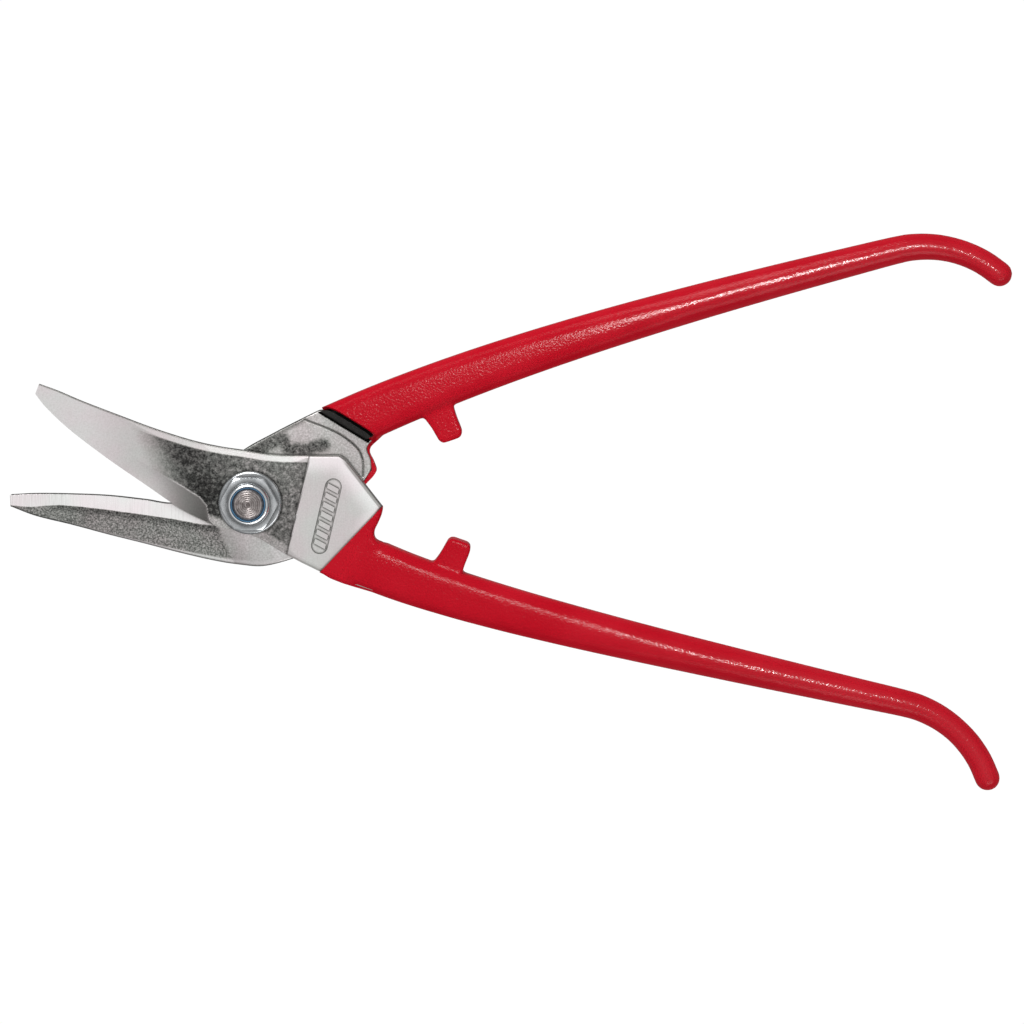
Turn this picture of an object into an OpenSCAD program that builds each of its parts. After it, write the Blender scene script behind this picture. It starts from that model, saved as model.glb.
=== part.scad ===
// Single-pivot sheet-metal snips with sweeping blades and dipped grips.
// Two forged levers cross at a bolted pivot: blade and head on one side, handle on the other.
// Frame: the pivot axis is Z, the bolt head's outer face is Z = 0, the handles point along +X.
// The jaws are drawn open.

/* [Pivot] */
// Diameter of the bolt shank and thread
bolt_d = 8; // [7.5:0.1:8.2]
// Hexagon across flats, bolt head and nut alike
hex_af = 13; // [12:0.5:14]
// Height of the bolt head
bolt_head_h = 5.3; // [4:0.1:6]
// Outside diameter of the washer
washer_d = 16; // [14:0.5:16.5]
// Thickness of the washer
washer_t = 1.6; // [1:0.1:2]
// Height of the lock nut with its collar
nut_h = 8; // [7:0.1:9]
// Height of the hexagon on the lock nut
nut_hex_h = 5.8; // [5:0.1:6.5]
// Outside diameter of the nut's collar
collar_d = 11; // [10.6:0.1:12]
// Outside diameter of the locking ring in the collar
insert_d = 9.4; // [9:0.1:9.6]
// Height of the locking ring
insert_h = 1.8; // [1:0.1:2]

/* [Levers] */
// Thickness of each lever's head at the ground pad
head_t = 5.5; // [5:0.1:6]
// How far the face round the nut lies below the ground pad
nut_face_drop = 0.7; // [0.3:0.1:1]
// Gap between the two heads at the shear plane
shear_gap = 0.04; // [0.02:0.01:0.1]
// Radial clearance of the bolt in the front lever
pivot_clearance = 0.05; // [0.03:0.01:0.1]
// Thickness of the front blade at its cutting edge
edge_t = 1.7; // [1.2:0.1:2.5]
// Angle of the front blade's outer face
blade_tilt = 11; // [8:1:13]
// Width of the flat land along the rear blade's cutting edge
land_w = 3; // [2.5:0.1:3.5]
// Angle of the relief below that land
relief_tilt = 14; // [8:1:18]
// How far the step wall at the handle leans over its own height
step_lean = 2.2; // [1:0.1:2.5]

/* [Grips] */
// Thickness of the dipped coating
coat = 0.8; // [0.6:0.1:1]
// Width of each stop lug, coating included
lug_w = 5.8; // [5:0.1:6]

/* [Hidden] */
$fn = 48;

shear_z = bolt_head_h + head_t + shear_gap / 2;
front_z = shear_z + shear_gap / 2;
rear_z = shear_z - shear_gap / 2;
pad_z = front_z + head_t;
nut_face_z = pad_z - nut_face_drop;
nut_z = nut_face_z + washer_t;
bolt_end_z = nut_z + nut_h - 0.2;
neck_w = bolt_d + 0.4;
neck_h = 3;
insert_z = nut_h - insert_h - 0.3;
lug_half_t = 4;
coat_slab_end = 33;
bore_d = bolt_d + 2 * pivot_clearance;
big = 80;
steps = 3;

// Edges of the front lever's head and blade, from the tip back to the coating line
front_spine = [[-53.5, 29.7], [-28, 19.8], [-2, 13.1], [22.7, 11.6]];
front_corners = [[24.3, 10.4], [33.2, -1.2]];
front_shoulder = [[32.6, -3.6], [30.8, -7], [31.9, -10.3], [35, -12]];
front_edge = [[-54.5, 27.2], [-50, 21.5], [-30, 6], [-18, -2], [-8, -6.2]];
front_heel = [[-8, -6.2], [0.7, -8.4], [8.2, -12.7], [17.7, -17.5], [24.8, -20.5], [35, -24.2]];

// Edges of the rear lever's head and blade
rear_edge = [[-61.1, 1.8], [-50, 2.1], [-35, 1.5], [-20, -0.4]];
rear_brow = [[-20, -0.4], [-14, 2.4], [-8, 8.4], [-2, 13.2]];
rear_top = [[15.2, 22.2], [22, 24.7], [33, 29]];
rear_back = [[-60.9, -1.1], [-55, -3.5], [-30, -10], [-10, -15], [2, -16.5], [10.8, -14.3]];
rear_corner = [[15.5, -12.2], [19.5, -9.5], [31.2, 8.4]];
rear_shoulder = [[31, 10.5], [29.7, 13.8], [33, 17.4]];

// Handles, coating included: they leave the head at one angle, ease off to another and end in a hook.
// Each is x and y of the root, angle at the root, angle it settles to, length of the easing,
// x where the hook starts and the hook's last angle
front_handle = [25.5, -13.9, -24, -12.6, 28, 166, -71];
rear_handle = [18.5, 17, 25.6, 12.8, 60, 163.5, -40];
hook_r = 29.5;
// Half width and half thickness at the root and at the end of the taper
handle_half_w = [6.4, 3.1];
handle_half_t = [5.95, 3];
taper_end = 179;

// Foot and end of each stop lug, on its centre line
front_lug = [[49.2, -21.2], [53.15, -9.75]];
rear_lug = [[47.2, 26.8], [51, 15.7]];

// Lines across a lever: the coating starts at the dip line, the step wall stands on the step line
front_dip = [[33.2, -1.2], [17.7, -17.5]];
rear_dip = [[31.2, 8.4], [15.2, 22.2]];
front_step = [[20.2, -20.2], [32.2, -10.3]];
rear_step = [[17.1, 22.6], [30.4, 14.5]];

// One point of a Catmull-Rom curve between b and c
function between(a, b, c, d, t) =
    0.5 * (2 * b + (c - a) * t + (2 * a - 5 * b + 4 * c - d) * t * t + (3 * b - 3 * c + d - a) * t * t * t);

// A smooth run through the given rows, whatever each row holds
function smooth(rows, n = steps) = [
    for (i = [0 : len(rows) - 2], k = [0 : n - 1])
        between(rows[max(i - 1, 0)], rows[i], rows[i + 1], rows[min(i + 2, len(rows) - 1)], k / n),
    rows[len(rows) - 1]
];

function reversed(list) = [for (i = [len(list) - 1 : -1 : 0]) list[i]];
function heading(a, b) = atan2(b[1] - a[1], b[0] - a[0]);
function row_heading(rows, i) = heading(rows[max(i - 1, 0)], rows[min(i + 1, len(rows) - 1)]);

// Height of a handle's centre line and its heading at x, before the hook
function eased(h, x) = let (steep = tan(h[2]), gentle = tan(h[3]))
    h[1] + gentle * (x - h[0]) + (steep - gentle) * h[4] * (1 - exp((h[0] - x) / h[4]));
function eased_heading(h, x) = let (steep = tan(h[2]), gentle = tan(h[3]))
    atan(gentle + (steep - gentle) * exp((h[0] - x) / h[4]));

// A straight taper from the root to taper_end
function taper(h, x, ends) = ends[0] + (ends[1] - ends[0]) * max(0, min(1, (x - h[0]) / (taper_end - h[0])));
function handle_row(h, x, y) = [x, y, taper(h, x, handle_half_w), taper(h, x, handle_half_t)];

// The centre line of a handle: the easing bar, then a hook of constant radius
function centre_rows(h, bar = 8, hook = 4) =
    let (hook_x = h[5], hook_y = eased(h, hook_x), start = eased_heading(h, hook_x))
    concat([for (k = [0 : bar]) let (x = h[0] + (hook_x - h[0]) * k / bar) handle_row(h, x, eased(h, x))],
           [for (k = [1 : hook]) let (a = start + (h[6] - start) * k / hook)
               handle_row(h, hook_x + hook_r * (sin(start) - sin(a)), hook_y + hook_r * (cos(a) - cos(start)))]);

// The rows of a handle with its rounded end, made thinner all round by inset; each row gains its heading
function handle_rows(handle, inset) =
    let (path = smooth(centre_rows(handle)), last = path[len(path) - 1],
         way = row_heading(path, len(path) - 1), r = last[2] - inset)
    concat([for (i = [0 : len(path) - 1]) let (p = path[i])
               [p[0], p[1], p[2] - inset, p[3] - inset, row_heading(path, i)]],
           [for (a = [25 : 20 : 85])
               [last[0] + r * sin(a) * cos(way), last[1] + r * sin(a) * sin(way),
                r * cos(a), (last[3] - inset) * cos(a), way]]);

// A handle is boxy at the head and round at its end
function squareness(x) = 2 + 3 * max(0, min(1, (110 - x) / 80));
function bulge(v, power) = sign(v) * pow(abs(v), 2 / power);

// Outline of a handle's section, across its width and thickness
function section(row, sides = 16) = [
    for (k = [0 : sides - 1]) let (a = 360 * (k + 0.5) / sides, p = squareness(row[0]))
        [row[2] * bulge(cos(a), p), row[3] * bulge(sin(a), p)]
];

// A closed solid through the sections of a handle
module loft(rows, sides = 16) {
    n = len(rows);
    points = [for (r = rows) for (s = section(r, sides))
        [r[0] - s[0] * sin(r[4]), r[1] + s[0] * cos(r[4]), shear_z + s[1]]];
    skin = [for (i = [0 : n - 2], k = [0 : sides - 1]) let (j = (k + 1) % sides, a = i * sides)
        each [[a + k, a + sides + j, a + j], [a + k, a + sides + k, a + sides + j]]];
    ends = [[for (k = [0 : sides - 1]) k], [for (k = [sides - 1 : -1 : 0]) (n - 1) * sides + k]];
    polyhedron(points, concat(skin, ends));
}

// The half plane on the far side of a line, seen from the pivot
module beyond(line) {
    way = heading(line[0], line[1]);
    side = line[0][0] * sin(way) - line[0][1] * cos(way) > 0 ? -1 : 1;
    translate(line[0]) rotate(way) translate([-big, side > 0 ? 0 : -big]) square([2 * big, big]);
}

// Everything on the pivot's side of a dip line, which stays bare steel
module bare(line) {
    translate([0, 0, shear_z - big]) linear_extrude(2 * big) difference() {
        square(2 * big, center = true);
        beyond(line);
    }
}

// Clears one side of a head up to its sloping step wall; up is 1 above the shear plane, -1 below it
module step_relief(line, up) {
    way = heading(line[0], line[1]);
    away = line[0][0] * sin(way) - line[0][1] * cos(way) > 0 ? -1 : 1;
    rise = 2 * head_t;
    translate([line[0][0], line[0][1], shear_z]) rotate(way) mirror([0, away < 0 ? 1 : 0, 0])
        mirror([0, 0, up < 0 ? 1 : 0]) rotate([90, 0, 90]) translate([0, 0, -big])
            linear_extrude(2 * big)
                polygon([[-big, -shear_gap / 2], [0, -shear_gap / 2],
                         [step_lean * rise / head_t, rise], [-big, rise]]);
}

// A stop lug standing on a handle's inner side
module lug(line, width, half_t) {
    way = heading(line[0], line[1]);
    length = norm(line[1] - line[0]) - (lug_w - width) / 2;
    nose = 1.2;
    translate([line[0][0], line[0][1], shear_z - half_t]) rotate(way) linear_extrude(2 * half_t) {
        translate([0, -width / 2]) square([length - nose, width]);
        translate([0, nose - width / 2]) square([length, width - 2 * nose]);
        for (side = [-1, 1]) translate([length - nose, side * (width / 2 - nose)]) circle(nose);
    }
}

module front_plan() {
    polygon(concat(smooth(front_spine), front_corners, smooth(front_shoulder),
                   reversed(smooth(front_heel)), reversed(smooth(front_edge))));
}

module rear_plan() {
    polygon(concat(smooth(rear_edge), smooth(rear_brow), smooth(rear_top),
                   reversed(smooth(rear_shoulder)), reversed(rear_corner), reversed(smooth(rear_back))));
}

// The part of the front head that stands proud as a ground pad
module pad_plan() {
    intersection() {
        front_plan();
        beyond([[14.7, 10.2], [9.4, -12.3]]);
    }
}

// Cuts the outer face of a blade back towards its cutting edge, from a toe at start to the tip
module face_cut(start, tip, z, tilt) {
    translate([start[0], start[1], z]) rotate(heading(start, tip)) rotate([-tilt, 0, 0])
        translate([0, -big, 0]) cube([big, 2 * big, big]);
}

module front_lever() {
    heel = [-14, -3.9];
    color("silver") difference() {
        union() {
            translate([0, 0, front_z]) linear_extrude(head_t - nut_face_drop) front_plan();
            translate([0, 0, front_z]) linear_extrude(head_t) pad_plan();
            difference() {
                union() {
                    loft(handle_rows(front_handle, coat));
                    lug(front_lug, lug_w - 2 * coat, lug_half_t);
                }
                step_relief(front_step, -1);
            }
        }
        translate([0, 0, front_z - 1]) cylinder(d = bore_d, h = head_t + 2);
        face_cut(heel, [-54.5, 27.2], front_z + edge_t, blade_tilt);
    }
}

module rear_lever() {
    toe = [-12.9, -5.8];
    land_tip = [-60.9, 1.8 - land_w];
    color("gainsboro") difference() {
        union() {
            translate([0, 0, bolt_head_h]) linear_extrude(head_t) rear_plan();
            difference() {
                union() {
                    loft(handle_rows(rear_handle, coat));
                    lug(rear_lug, lug_w - 2 * coat, lug_half_t);
                }
                step_relief(rear_step, 1);
            }
        }
        translate([0, 0, bolt_head_h - 1]) cylinder(d = bore_d, h = head_t + 2);
        translate([0, 0, bolt_head_h - 1 + (neck_h + 1.1) / 2])
            cube([neck_w + 0.1, neck_w + 0.1, neck_h + 1.1], center = true);
        translate([toe[0], toe[1], rear_z]) rotate(heading(toe, land_tip)) rotate([-relief_tilt, 0, 0])
            cube([big, big, big]);
    }
}

// The coating: the handle's outside, less the steel and whatever the head needs clear
module front_grip() {
    color("firebrick") difference() {
        union() {
            difference() {
                union() {
                    loft(handle_rows(front_handle, 0));
                    lug(front_lug, lug_w, lug_half_t + coat);
                }
                step_relief(front_step, -1);
                bare(front_dip);
            }
            translate([0, 0, front_z]) linear_extrude(head_t + coat) intersection() {
                offset(coat) front_plan();
                beyond(front_dip);
                translate([-big, -big]) square([big + coat_slab_end, 2 * big]);
            }
        }
        front_steel();
    }
}

module front_steel() {
    translate([0, 0, front_z - 1]) linear_extrude(head_t + 1) front_plan();
    loft(handle_rows(front_handle, coat));
    lug(front_lug, lug_w - 2 * coat, lug_half_t);
}

module rear_grip() {
    color("firebrick") difference() {
        union() {
            difference() {
                union() {
                    loft(handle_rows(rear_handle, 0));
                    lug(rear_lug, lug_w, lug_half_t + coat);
                }
                step_relief(rear_step, 1);
                bare(rear_dip);
            }
            translate([0, 0, bolt_head_h - coat]) linear_extrude(head_t + coat) intersection() {
                offset(coat) rear_plan();
                beyond(rear_dip);
                translate([-big, -big]) square([big + coat_slab_end, 2 * big]);
            }
        }
        rear_steel();
    }
}

module rear_steel() {
    translate([0, 0, bolt_head_h]) linear_extrude(head_t + 1) rear_plan();
    loft(handle_rows(rear_handle, coat));
    lug(rear_lug, lug_w - 2 * coat, lug_half_t);
}

module hexagon(af, h) {
    cylinder(d = af / cos(30), h = h, $fn = 6);
}

// Hexagon bolt with a square neck that stops it turning in the rear lever
module pivot_bolt() {
    end_chamfer = 0.5;
    color("lightsteelblue") difference() {
        union() {
            hexagon(hex_af, bolt_head_h);
            translate([0, 0, bolt_head_h - 0.5 + neck_h / 2]) cube([neck_w, neck_w, neck_h], center = true);
            cylinder(d = bolt_d, h = bolt_end_z - end_chamfer);
            translate([0, 0, bolt_end_z - end_chamfer])
                cylinder(d1 = bolt_d, d2 = bolt_d - 2 * end_chamfer, h = end_chamfer);
        }
        translate([0, 0, bolt_end_z - 0.4]) cylinder(d1 = 0, d2 = 0.9, h = 0.41);
    }
}

module pivot_washer() {
    color("lightgray") translate([0, 0, nut_face_z]) difference() {
        cylinder(d = washer_d, h = washer_t);
        translate([0, 0, -1]) cylinder(d = bolt_d + 0.4, h = washer_t + 2);
    }
}

module lock_nut() {
    thread_clearance = 0.02;
    color("lightgray") translate([0, 0, nut_z]) difference() {
        union() {
            hexagon(hex_af, nut_hex_h);
            cylinder(d = collar_d, h = nut_h);
        }
        translate([0, 0, -1]) cylinder(d = bolt_d + 2 * thread_clearance, h = nut_h + 2);
        translate([0, 0, insert_z]) cylinder(d = insert_d, h = insert_h + 1);
    }
}

module nut_insert() {
    fit = 0.02;
    color("royalblue") translate([0, 0, nut_z + insert_z + fit]) difference() {
        cylinder(d = insert_d - 2 * fit, h = insert_h);
        translate([0, 0, -1]) cylinder(d = bolt_d + 2 * fit, h = insert_h + 2);
    }
}

front_lever();
rear_lever();
front_grip();
rear_grip();
pivot_bolt();
pivot_washer();
lock_nut();
nut_insert();
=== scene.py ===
"""Visual model of single-pivot sheet-metal snips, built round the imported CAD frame.

Lengths are in millimetres in the row frame; mesh_object turns them into metres.
The pivot axis is Z, the handles point along +X and the nut faces +Z.
"""

import math

import bmesh
import bpy
import numpy as np
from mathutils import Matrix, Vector

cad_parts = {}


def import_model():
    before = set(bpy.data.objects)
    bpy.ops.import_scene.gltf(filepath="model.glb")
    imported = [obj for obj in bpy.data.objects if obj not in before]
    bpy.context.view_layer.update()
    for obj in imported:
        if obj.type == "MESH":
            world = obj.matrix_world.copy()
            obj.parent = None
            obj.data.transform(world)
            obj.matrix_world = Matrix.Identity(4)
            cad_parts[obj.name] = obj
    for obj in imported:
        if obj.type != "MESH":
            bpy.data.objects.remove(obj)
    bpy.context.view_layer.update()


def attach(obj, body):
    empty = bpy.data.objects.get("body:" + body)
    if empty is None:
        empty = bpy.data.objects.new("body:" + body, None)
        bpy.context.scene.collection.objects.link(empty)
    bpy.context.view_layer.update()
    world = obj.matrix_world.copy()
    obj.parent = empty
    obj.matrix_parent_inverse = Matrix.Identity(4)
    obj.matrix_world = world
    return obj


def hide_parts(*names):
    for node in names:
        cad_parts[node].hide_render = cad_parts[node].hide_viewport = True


MM = 0.001
UP = np.array([0.0, 0.0, 1.0])

# Heights and sizes: rear head, shear plane, front head, washer, nut, bore, coating
HEAD_T = 5.5
BOLT_HEAD_H = 5.3
SHEAR_Z = 10.82
FRONT_Z = 10.84
REAR_Z = 10.80
NUT_FACE_Z = 15.64
PAD_Z = 16.34
NUT_Z = 17.24
NUT_H = 8.0
NUT_HEX_H = 5.8
BOLT_END_Z = 25.04
HEX_AF = 13.0
WASHER_T = 1.6
WASHER_R = 8.0
WASHER_HOLE_R = 4.2
SHANK_R = 4.0
NUT_HOLE_R = 4.02
COLLAR_R = 5.45
BORE_R = 4.05
COAT = 0.8

# How far a step wall leans out for each millimetre of height
LEAN_SLOPE = 2.2 / HEAD_T

# Spacing of the rows of a head's grid
GRID = 0.3

# Half the reach of cutters that have to pass right through a piece
FAR = 90

# Vertices nearer than this are one, in metres
WELD = 8e-6

# The front lever from its tip to under the coating: upper edge x, y and lower edge x, y
FRONT_RIBBON = [
    (-53.5, 29.9, -54.5, 27.4), (-48.6, 28.1, -51.6, 23.7), (-42.5, 25.5, -45.4, 17.9),
    (-33.4, 22.0, -36.2, 10.9), (-24.3, 18.6, -27.1, 4.6), (-15.1, 15.7, -18.4, -1.4),
    (-8.0, 14.1, -11.8, -4.8), (-2.0, 13.2, -7.5, -6.3), (6.0, 12.0, 0.7, -8.4),
    (14.6, 11.8, 8.2, -12.7), (22.7, 11.8, 11.5, -14.4), (24.3, 10.6, 13.0, -15.2),
    (33.4, -1.1, 17.7, -17.5), (32.9, -3.3, 19.3, -18.0), (31.9, -5.7, 21.5, -18.9),
    (30.9, -8.3, 25.0, -20.2), (31.7, -10.6, 28.5, -21.4), (34.2, -12.3, 30.9, -22.2),
]
FRONT_CORNERS = (10, 11, 12)

# The rear lever the same way, from its tip to under the coating
REAR_RIBBON = [
    (-61.3, 1.6, -61.2, -1.3), (-54.7, 1.9, -54.7, -3.8), (-45.6, 1.8, -45.6, -6.1),
    (-36.4, 1.4, -36.4, -8.6), (-27.3, 0.4, -27.3, -10.9), (-20.0, -0.5, -18.2, -13.3),
    (-14.0, 1.9, -9.0, -15.4), (-8.0, 8.0, -2.9, -16.3), (-2.0, 13.1, 3.2, -16.5),
    (5.0, 17.0, 10.8, -14.5), (10.0, 19.6, 15.5, -12.4), (14.0, 21.6, 19.5, -9.5),
    (17.1, 23.1, 30.6, 8.1), (19.2, 23.4, 30.4, 10.8), (21.8, 24.5, 29.5, 13.8),
    (26.3, 26.5, 32.6, 17.1),
]
REAR_CORNERS = (11, 12)

# Where the rear coating starts on its head: it stands further out than the steel at the inner corner
REAR_SLEEVE = [
    (14.0, 21.6, 19.5, -9.5), (17.1, 23.1, 31.4, 8.4), (19.2, 23.4, 30.5, 10.8),
    (21.8, 24.5, 29.5, 13.8), (26.3, 26.5, 32.6, 17.1),
]

# Handles with their coating: they leave the head at one angle, ease off to another and end in a hook.
# Each is root x and y, angle at the root, angle it settles to, length of the easing,
# x where the hook starts and the hook's last angle
FRONT_HANDLE = (25.5, -13.9, -24.0, -12.6, 28.0, 166.0, -71.0)
REAR_HANDLE = (18.5, 17.0, 25.6, 12.8, 60.0, 163.5, -40.0)
HOOK_R = 29.5
HANDLE_HALF_W = (6.55, 3.2)
HANDLE_HALF_T = (6.4, 3.0)
TAPER_END = 179.0

# Between these places on X a handle's section changes from boxy to round
BOXY_X = 30
ROUND_X = 110

# Foot and nose of each stop lug on its centre line
FRONT_LUG = ((49.2, -21.2), (53.15, -9.75))
REAR_LUG = ((47.2, 26.8), (51.0, 15.7))
LUG_HALF_W = 2.9
LUG_HALF_T = 4.8

# Lines across the levers
PAD_LINE = ((14.7, 10.2), (9.4, -12.3))
FRONT_DIP = ((33.2, -1.2), (17.7, -17.5))
REAR_DIP = ((28.8, 4.2), (18.2, 23.6))
FRONT_STEP = ((20.2, -20.2), (32.2, -10.3))
REAR_STEP = ((17.1, 22.6), (30.4, 14.5))

# Distances beyond a dip line between which the head's thickness gives way to the handle's
SLAB_SINKS = (5.0, 15.0)

# The cut that thins the front blade towards its edge, and the hollow-ground bevel in front of it
CUT_HEEL = (-14.0, -3.9)
CUT_TIP = (-54.5, 27.2)
BEVEL_ALONG = (-5.0, -3.3, -0.4, 2.3, 6.9, 16.8)
BEVEL_WIDTH = (0.05, 0.8, 4.0, 5.2, 5.3, 4.4)
EDGE_T = 1.7
GRIND_ANGLE = 11

# The relief below the rear blade's land: its angle, and the leaning ridge past which it runs out
RELIEF_ANGLE = 14
RIDGE_FOOT = (-8.8, -6.2)
RIDGE_LEAN = 0.44
RUN_OUT = 12

# Lower border of the rear blade's ground land, the dark scar and the score line on the rear head
LAND_BORDER = (
    (-61.0, -1.0), (-56.0, -1.4), (-52.7, -1.1), (-48.6, -0.9), (-43.5, -1.3), (-36.7, -2.1), (-26.5, -3.5),
    (-19.7, -4.5), (-12.9, -5.8), (-8.8, -6.2), (4.0, -8.5), (12.0, -10.0),
)
SCAR = ((0.5, 12.5), (4.5, 14.6), (7.9, 16.0), (9.4, 13.4), (13.8, 13.2), (18.4, 14.4))
SCORE_LINE = ((13.6, 20.8), (20.1, 18.3), (23.5, 16.5), (26.9, 13.6), (28.3, 10.5), (28.3, 6.4))


# ---------------------------------------------------------------- curves and fields


def spline(points, spacing, corners=()):
    """A Catmull-Rom curve through rows of numbers, with a corner at each index in corners."""
    points = np.asarray(points, float)
    stops = [0, *corners, len(points) - 1]
    out = []
    for first, last in zip(stops, stops[1:]):
        run = points[first : last + 1]
        run = np.vstack([2 * run[0] - run[1], run, 2 * run[-1] - run[-2]])
        for a, b, c, d in zip(run, run[1:], run[2:], run[3:]):
            n = max(1, math.ceil(np.abs(c - b).max() / spacing))
            t = (np.arange(n) / n)[:, None]
            cubic = (3 * b - 3 * c + d - a) * t**3
            out.append(0.5 * (2 * b + (c - a) * t + (2 * a - 5 * b + 4 * c - d) * t**2 + cubic))
    return np.vstack([*out, points[-1:]])


def distance(x, y, line):
    """Distance from each point to an open line of x, y points."""
    best = np.full(np.shape(x), 1e9)
    line = np.asarray(line, float)
    for a, b in zip(line, line[1:]):
        way = b - a
        t = ((x - a[0]) * way[0] + (y - a[1]) * way[1]) / max(way @ way, 1e-9)
        t = np.clip(t, 0, 1)
        best = np.minimum(best, np.hypot(x - a[0] - t * way[0], y - a[1] - t * way[1]))
    return best


def past(x, y, line):
    """How far each point lies beyond a straight line, seen from the pivot."""
    (ax, ay), (bx, by) = line
    way = np.array([bx - ax, by - ay]) / math.hypot(bx - ax, by - ay)
    normal = np.array([-way[1], way[0]])
    if normal @ (ax, ay) < 0:
        normal = -normal
    return (x - ax) * normal[0] + (y - ay) * normal[1]


def fade(low, high, value):
    """0 below low, 1 above high and smooth between."""
    t = np.clip((value - low) / (high - low), 0, 1)
    return t * t * (3 - 2 * t)


def mix(a, b, amount):
    return a + (b - a) * amount


def rounding(d, radius):
    """How far a rounded edge drops at distance d from the rim."""
    inside = np.clip(radius - d, 0, radius)
    return radius - np.sqrt(np.maximum(radius**2 - inside**2, 0))


def bevelled(d, width):
    """How far a shallow ground bevel drops at distance d from the rim."""
    return 0.22 * np.clip(width - d, 0, None)


# ---------------------------------------------------------------- meshes


def mesh_object(name, points, faces):
    """An object from points in millimetres, with its normals facing out."""
    mesh = bpy.data.meshes.new(name)
    mesh.from_pydata((np.asarray(points, float) * MM).tolist(), [], faces)
    edit = bmesh.new()
    edit.from_mesh(mesh)
    bmesh.ops.remove_doubles(edit, verts=edit.verts, dist=1e-7)
    bmesh.ops.dissolve_degenerate(edit, edges=edit.edges, dist=1e-8)
    bmesh.ops.recalc_face_normals(edit, faces=edit.faces)
    edit.to_mesh(mesh)
    edit.free()
    obj = bpy.data.objects.new(name, mesh)
    bpy.context.scene.collection.objects.link(obj)
    return obj


def apply_modifiers(obj):
    """Turns what the modifiers give into the object's own mesh."""
    depsgraph = bpy.context.evaluated_depsgraph_get()
    baked = bpy.data.meshes.new_from_object(obj.evaluated_get(depsgraph))
    obj.modifiers.clear()
    obj.data = baked


def combine(obj, other, operation):
    """Joins, cuts or intersects obj with other, which is then removed."""
    step = obj.modifiers.new(operation, "BOOLEAN")
    step.operation = operation
    step.solver = "MANIFOLD"
    step.object = other
    apply_modifiers(obj)
    bpy.data.objects.remove(other)


def islands(edit):
    """The parts of a mesh whose faces meet in pairs along edges, as sets of faces."""
    left = set(edit.faces)
    found = []
    while left:
        waiting = [left.pop()]
        island = set(waiting)
        while waiting:
            sound = [edge for edge in waiting.pop().edges if len(edge.link_faces) == 2]
            near = {face for edge in sound for face in edge.link_faces} & left
            left -= near
            island |= near
            waiting += near
        found.append(island)
    return found


def clean(obj):
    """Removes what cutting leaves over: collapsed edges, folded face pairs, loose crumbs and pinholes."""
    edit = bmesh.new()
    edit.from_mesh(obj.data)
    bmesh.ops.triangulate(edit, faces=edit.faces)
    bmesh.ops.remove_doubles(edit, verts=edit.verts, dist=WELD)
    bmesh.ops.dissolve_degenerate(edit, edges=edit.edges, dist=WELD)
    twins = {}
    for face in edit.faces:
        twins.setdefault(frozenset(face.verts), []).append(face)
    folded = [face for faces in twins.values() if len(faces) > 1 for face in faces]
    bmesh.ops.delete(edit, geom=folded, context="FACES")
    bmesh.ops.collapse(edit, edges=[edge for edge in edit.edges if len(edge.link_faces) > 2])
    largest = max(islands(edit), key=len)
    bmesh.ops.delete(edit, geom=[face for face in edit.faces if face not in largest], context="FACES")
    rims = [edge for edge in edit.edges if len(edge.link_faces) == 1]
    filled = bmesh.ops.holes_fill(edit, edges=rims)
    bmesh.ops.triangulate(edit, faces=filled["faces"])
    edit.to_mesh(obj.data)
    edit.free()


def copy_of(obj):
    twin = bpy.data.objects.new(obj.name + "_copy", obj.data.copy())
    bpy.context.scene.collection.objects.link(twin)
    return twin


def shade(obj, degrees):
    """Smooth shading with sharp edges above an angle."""
    for face in obj.data.polygons:
        face.use_smooth = True
    obj.data.set_sharp_from_angle(angle=math.radians(degrees))


def shell(name, x, y, top, bottom):
    """A closed solid between two height grids over the same plan."""
    rows, columns = x.shape
    index = np.arange(rows * columns).reshape(rows, columns)
    under = index + rows * columns
    quads = np.stack([index[:-1, :-1], index[:-1, 1:], index[1:, 1:], index[1:, :-1]], -1)
    quads = quads.reshape(-1, 4)
    faces = quads.tolist() + (quads[:, ::-1] + rows * columns).tolist()
    rim = np.concatenate([index[0, :-1], index[:-1, -1], index[-1, :0:-1], index[:0:-1, 0]])
    low = np.concatenate([under[0, :-1], under[:-1, -1], under[-1, :0:-1], under[:0:-1, 0]])
    for i, point in enumerate(rim):
        j = (i + 1) % len(rim)
        faces.append([int(point), int(rim[j]), int(low[j]), int(low[i])])
    points = np.stack([[x, y, top], [x, y, bottom]]).transpose(0, 2, 3, 1).reshape(-1, 3)
    return mesh_object(name, points, faces)


def ribbon(pairs, corners, columns=100):
    """Plan grid between two edges, with its columns closer together at the rims."""
    rows = spline(pairs, GRID, corners)
    k = np.arange(columns + 1) / columns
    u = 0.35 * k + 0.65 * (1 - np.cos(np.pi * k)) / 2
    x = rows[:, 0:1] + (rows[:, 2:3] - rows[:, 0:1]) * u
    y = rows[:, 1:2] + (rows[:, 3:4] - rows[:, 1:2]) * u
    return x, y, rows[:, 0:2], rows[:, 2:4]


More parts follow.
